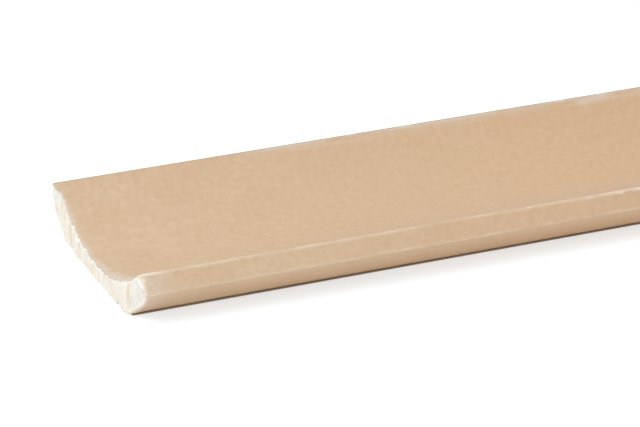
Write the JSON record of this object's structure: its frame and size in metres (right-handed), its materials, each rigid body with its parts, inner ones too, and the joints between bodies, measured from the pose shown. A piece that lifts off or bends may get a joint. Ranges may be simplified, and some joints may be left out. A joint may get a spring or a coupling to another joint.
{
  "type": "crown moulding piece",
  "caption": "Length of paper-faced gypsum cove for the corner between a wall and a ceiling, with one end sawn rough and the other cut square.",
  "frame": {"origin": "on the underside of the back paper, at the centre of the box around the piece", "axes": "+X along the length towards the square-cut end, +Y from the wall side to the ceiling side, +Z out of the hollow face, as it lies on its back"},
  "size_m": [0.35, 0.1264, 0.0266],
  "materials": {
    "gypsum": "matt aerated gypsum, hand-sawn and crumbled at one end",
    "face_kraft": "matt tan kraft liner, rubbed pale along the edges",
    "back_kraft": "matt rough grey-brown liner"
  },
  "bodies": {
    "root": {"gypsum_core": "gypsum", "face_paper": "face_kraft", "back_paper": "back_kraft"}
  },
  "joints": []
}
